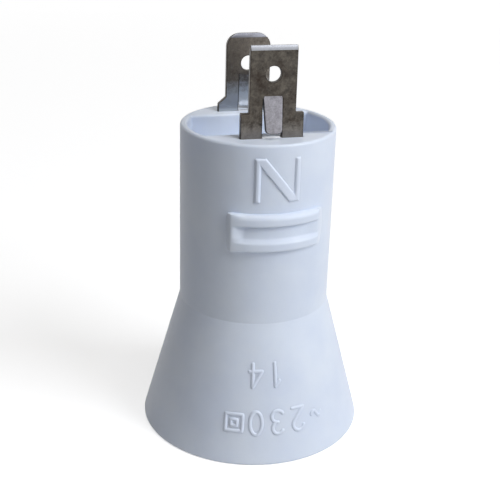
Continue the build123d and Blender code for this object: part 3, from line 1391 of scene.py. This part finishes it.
@dataclass
class Terminal:
    """Stamped and bent terminal: a tab with a hole, a window with a lance, and a foot."""

    layout: Layout
    name: str
    node: str
    side: int
    reach: float
    shoulder: float
    slope: float
    corner: float
    hole_drop: float
    foot_z: float
    lance_lift: float
    tab_width: float = 6.3
    tab_hole: float = 2.1
    tip_bevel_height: float = 0.6
    tip_bevel_depth: float = 0.25
    foot_width: float = 5.6
    foot_rise: float = 1.4
    foot_end: float = 3.85
    window_width: float = 2.65
    window_height: float = 5.3
    lance_gap: float = 0.05
    lance_taper: float = 0.2
    lance_root: float = 0.3
    lance_angle: float = 14.5
    lance_round: float = 0.6
    lance_bend: float = 2.0
    edge_round: float = 0.1

    def make_strip(self) -> bpy.types.Object:
        """The bent strip, cut to its outline."""
        size = self.layout
        sheet = size.terminal_sheet
        tip = size.body_height + self.reach
        near = size.terminal_spacing / 2 - sheet / 2
        far = near + sheet
        way = self.side
        bevel = self.tip_bevel_depth
        strip = prism(rounded([
            Corner(way * self.foot_end, self.foot_z + sheet),
            Corner(way * self.foot_end, self.foot_z),
            Corner(way * far, self.foot_z, size.bend_round + sheet),
            Corner(way * far, tip - self.tip_bevel_height),
            Corner(way * (far - bevel), tip),
            Corner(way * (near + bevel), tip),
            Corner(way * near, tip - self.tip_bevel_height),
            Corner(way * near, self.foot_z + sheet, size.bend_round),
        ]), Facing.SIDE, -size.strip_width / 2, size.strip_width / 2)
        foot = self.foot_width / 2
        wide = size.strip_width / 2 + 1
        edge = size.strip_width / 2
        tab = self.tab_width / 2
        ledge = self.foot_z + self.foot_rise
        shoulder = size.body_height + self.shoulder
        right = [
            Corner(foot, self.foot_z - 1),
            Corner(foot, ledge),
            Corner(edge, ledge),
            Corner(edge, shoulder - self.slope),
            Corner(tab, shoulder),
            Corner(tab, tip, self.corner),
        ]
        if not self.corner:
            right[-1] = Corner(tab, tip + 1)
        left = [Corner(-corner.x, corner.y, corner.round) for corner in reversed(right)]
        combine(strip, prism(rounded(right + left), Facing.FRONT, -wide * 2, wide * 2), "INTERSECT")
        return strip

    def cut_openings(self, strip: bpy.types.Object) -> None:
        """Cuts the window and the hole.

        Args:
            strip: The bent strip.
        """
        size = self.layout
        y = self.side * size.terminal_spacing / 2
        half = self.window_width / 2
        combine(strip, block(
            Vector((-half, y - 1, size.body_height)), Vector((half, y + 1, size.body_height + self.window_height))
        ))
        hole_z = size.body_height + self.reach - self.hole_drop
        combine(strip, round_bar(Vector((0, y, hole_z)), self.tab_hole / 2, 2, Facing.FRONT))

    def make_lance(self) -> bpy.types.Object:
        """The lance, hinged at the top of the window and bent outwards."""
        size = self.layout
        lean = radians(self.lance_angle)
        height = self.window_height - self.lance_lift
        line = rounded([
            Corner(0, self.lance_root),
            Corner(0, 0, self.lance_bend),
            Corner(height * tan(lean), -height),
        ], closed=False, step=radians(4))
        start, end = line[-2], line[-1]
        rows = 24
        line = line[:-1] + [start.lerp(end, n / rows) for n in range(1, rows + 1)]
        across = 8
        deselect()
        bpy.ops.mesh.primitive_grid_add(
            x_subdivisions=across, y_subdivisions=len(line) - 1, size=1, location=(0, 0, 0)
        )
        lance = bpy.context.object
        y = self.side * size.terminal_spacing / 2
        hinge_z = size.body_height + self.window_height
        for vertex in lance.data.vertices:
            point = line[round((vertex.co.y + 0.5) * (len(line) - 1))]
            down = max(0.0, -point.y / height)
            half = self.window_width / 2 - self.lance_gap - self.lance_taper * down
            to_end = (height + point.y) / self.lance_round
            if to_end < 1:
                half -= self.lance_round * (1 - sqrt(max(0.0, 1 - (1 - to_end) ** 2)))
            vertex.co = (2 * vertex.co.x * half, y + self.side * point.x, hinge_z + point.y)
        clean(lance)
        apply_modifier(lance, "SOLIDIFY", thickness=size.terminal_sheet, offset=0, use_even_offset=True)
        clean(lance)
        return lance

    def make(self, finishes: Finishes) -> None:
        """Builds and dresses the terminal.

        Args:
            finishes: The finishes.
        """
        front = self.side < 0
        face_finish = finishes.front_strip if front else finishes.rear_strip
        # Top bevels: painted highlight, dimmer on the rear tab.
        bevel = finishes.bevel if front else finishes.dim_bevel_painted_highlight
        layers = [face_finish, finishes.edge, finishes.painted_reflection, bevel, finishes.sill]
        strip = self.make_strip()
        self.cut_openings(strip)
        lance = self.make_lance()
        for part in (strip, lance):
            for finish in layers:
                part.data.materials.append(finish)
        # Lance faces: the outward face takes the lighter plate with the painted reflection of the sky; the sides
        # take the dark cut-edge finish.
        for face in lance.data.polygons:
            outward = face.normal.y * self.side
            face.material_index = 1 if abs(face.normal.x) > 0.5 else 2 if outward > 0.3 else 0
        # The rounds on the strip's edges take the dark cut-edge finish, partly painted shade.
        soften(strip, self.edge_round, segments=2, round_slot=1)
        soften(lance, self.edge_round, segments=2)
        sill = self.layout.body_height
        bevel_foot = sill + self.reach - self.tip_bevel_height - 0.05
        for face in strip.data.polygons:
            # Side faces: dark cut-edge finish, raw cut metal with painted shade.
            if abs(face.normal.x) > 0.3:
                face.material_index = 1
            # Up-facing tip faces: painted highlight on the bevels; the rear tab's flat top takes the dark cut-edge
            # paint.
            elif face.center.z > bevel_foot and face.normal.z > 0.2:
                face.material_index = 3 if front or face.normal.z < 0.95 else 1
            # Up-facing faces at the sill: near-white painted light against the lance's shadow.
            elif face.normal.z > 0.2 and abs(face.center.z - sill) < 0.11:
                face.material_index = 4
        terminal = join([strip, lance])
        shade(terminal)
        indices = [face.material_index for face in terminal.data.polygons]
        finish_piece(terminal, self.name, layers, self.node)
        for face, index in zip(terminal.data.polygons, indices):
            face.material_index = index


@dataclass
class InnerContacts:
    """Centre contact leaf and rivets, whose shapes come from the frame."""

    def make(self, finishes: Finishes) -> None:
        """Dresses the inner contacts.

        Args:
            finishes: The finishes.
        """
        for node, finish in (
            ("centre_contact", finishes.spring),
            ("shell_rivet", finishes.brass),
            ("contact_rivet", finishes.brass),
        ):
            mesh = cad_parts[node].data
            mesh.materials.clear()
            mesh.materials.append(finish)
            log.info("%s: dressed", node)


# Studio


@dataclass(frozen=True)
class PhotoView:
    """Camera at the photograph's viewing angle."""

    lens: float = 73.7
    distance: float = 148.0
    azimuth: float = -14.05
    elevation: float = 22.63
    roll: float = 1.65
    aim_across: float = -0.64
    aim_up: float = 26.0

    def place(self) -> None:
        """Adds the camera."""
        turn = radians(self.azimuth)
        rise = radians(self.elevation)
        across = Vector((cos(turn), sin(turn), 0))
        aim = across * self.aim_across + Vector((0, 0, self.aim_up))
        back = Vector((sin(turn) * cos(rise), -cos(turn) * cos(rise), sin(rise)))
        deselect()
        bpy.ops.object.camera_add(location=(aim + back * self.distance) * MM)
        camera = bpy.context.object
        camera.rotation_mode = "QUATERNION"
        camera.rotation_quaternion = back.to_track_quat("Z", "Y") @ Quaternion((0, 0, 1), radians(self.roll))
        camera.data.lens = self.lens
        camera.data.sensor_width = 36
        camera.data.clip_start = 0.005
        bpy.context.scene.camera = camera
        log.info("camera placed")


@dataclass(frozen=True)
class Lamp:
    """Soft square lamp that points at the object."""

    name: str
    azimuth: float
    elevation: float
    distance: float
    size: float
    power: float
    colour: Colour = (1, 1, 1)

    def place(self) -> None:
        """Adds the lamp."""
        turn = radians(self.azimuth)
        rise = radians(self.elevation)
        back = Vector((sin(turn) * cos(rise), -cos(turn) * cos(rise), sin(rise)))
        deselect()
        bpy.ops.object.light_add(type="AREA", location=back * self.distance + Vector((0, 0, 0.028)))
        lamp = bpy.context.object
        lamp.name = self.name
        lamp.rotation_mode = "QUATERNION"
        lamp.rotation_quaternion = back.to_track_quat("Z", "Y")
        lamp.data.shape = "SQUARE"
        lamp.data.size = self.size
        lamp.data.energy = self.power
        lamp.data.color = self.colour


@dataclass(frozen=True)
class Studio:
    """Plain pale floor, white surroundings and soft lamps."""

    floor_size: float = 4.0
    floor_colour: Colour = (0.8, 0.8, 0.8)
    near_glow: float = 0.62
    far_glow: float = 1.0
    near_reach: float = 0.08
    far_reach: float = 0.6
    ambient: float = 0.02
    ambient_colour: Colour = (1.0, 0.96, 0.93)
    lamps: tuple[Lamp, ...] = (
        Lamp("key_lamp", 46, 36, 0.42, 0.24, 1.3, (0.94, 0.965, 1.0)),
        Lamp("top_lamp", -10, 78, 0.45, 0.22, 0.56, (1.0, 0.98, 0.96)),
    )

    def seen_directly(self, tree: bpy.types.NodeTree) -> bpy.types.NodeSocket:
        """Value that is 1 for what the camera sees, also in reflections and through glass.

        Args:
            tree: Node tree to add to.

        Returns:
            The value.
        """
        path = tree.nodes.new("ShaderNodeLightPath")
        total = path.outputs["Is Camera Ray"]
        for name in ("Is Glossy Ray", "Is Transmission Ray"):
            most = tree.nodes.new("ShaderNodeMath")
            most.operation = "MAXIMUM"
            tree.links.new(total, most.inputs[0])
            tree.links.new(path.outputs[name], most.inputs[1])
            total = most.outputs[0]
        return total

    def make_world(self) -> None:
        """Makes the surroundings: plain light, and white where they are seen."""
        world = bpy.context.scene.world or bpy.data.worlds.new("studio")
        bpy.context.scene.world = world
        world.use_nodes = True
        tree = world.node_tree
        tree.nodes.clear()
        output = tree.nodes.new("ShaderNodeOutputWorld")
        light = tree.nodes.new("ShaderNodeBackground")
        light.inputs["Color"].default_value = (*self.ambient_colour, 1)
        light.inputs["Strength"].default_value = self.ambient
        white = tree.nodes.new("ShaderNodeBackground")
        white.inputs["Color"].default_value = (1, 1, 1, 1)
        white.inputs["Strength"].default_value = 1
        mix = tree.nodes.new("ShaderNodeMixShader")
        tree.links.new(self.seen_directly(tree), mix.inputs[0])
        tree.links.new(light.outputs[0], mix.inputs[1])
        tree.links.new(white.outputs[0], mix.inputs[2])
        tree.links.new(mix.outputs[0], output.inputs["Surface"])

    def make_floor(self) -> None:
        """Makes the pale floor, which keeps the object's shadow."""
        deselect()
        bpy.ops.mesh.primitive_plane_add(size=self.floor_size, location=(0, 0, -0.00001))
        bpy.ops.object.transform_apply(location=True, rotation=True, scale=True)
        floor_piece = bpy.context.object
        floor_piece.name = "floor"
        material = bpy.data.materials.new("pale_floor")
        material.use_nodes = True
        tree = material.node_tree
        surface = tree.nodes["Principled BSDF"]
        surface.inputs["Base Color"].default_value = (*self.floor_colour, 1)
        surface.inputs["Roughness"].default_value = 0.9
        surface.inputs["Specular IOR Level"].default_value = 0.1
        surface.inputs["Emission Color"].default_value = (1, 1, 1, 1)
        place = tree.nodes.new("ShaderNodeTexCoord")
        reach = tree.nodes.new("ShaderNodeVectorMath")
        reach.operation = "LENGTH"
        tree.links.new(place.outputs["Object"], reach.inputs[0])
        fade = tree.nodes.new("ShaderNodeMapRange")
        fade.inputs["From Min"].default_value = self.near_reach
        fade.inputs["From Max"].default_value = self.far_reach
        fade.inputs["To Min"].default_value = self.near_glow
        fade.inputs["To Max"].default_value = self.far_glow
        tree.links.new(reach.outputs["Value"], fade.inputs["Value"])
        glow = tree.nodes.new("ShaderNodeMath")
        glow.operation = "MULTIPLY"
        tree.links.new(self.seen_directly(tree), glow.inputs[0])
        tree.links.new(fade.outputs["Result"], glow.inputs[1])
        tree.links.new(glow.outputs[0], surface.inputs["Emission Strength"])
        floor_piece.data.materials.append(material)

    def make(self) -> None:
        """Sets up the studio."""
        bpy.context.scene.view_settings.view_transform = "Standard"
        self.make_world()
        self.make_floor()
        for lamp in self.lamps:
            lamp.place()
        log.info("studio: floor and %d lamps", len(self.lamps))


def main() -> None:
    """Builds the lamp adapter and its studio."""
    logging.basicConfig(level=logging.INFO, format="%(message)s")
    layout = Layout.from_frame()
    finishes = Finishes()
    Housing(layout).make(finishes)
    RaisedMarks(layout).make(finishes)
    ScrewShell(layout).make(finishes)
    Terminal(
        layout, name="neutral_tab_terminal", node="neutral_terminal", side=-1, reach=12.1, shoulder=3.3,
        slope=0, corner=0, hole_drop=3.7, foot_z=layout.shell_top, lance_lift=0.7,
    ).make(finishes)
    Terminal(
        layout, name="line_tab_terminal", node="line_terminal", side=1, reach=11.0, shoulder=2.0,
        slope=0.95, corner=1.9, hole_drop=4.2, foot_z=38.4, lance_lift=0.3,
    ).make(finishes)
    InnerContacts().make(finishes)
    Studio().make()
    PhotoView().place()


if __name__ == "__main__":
    main()
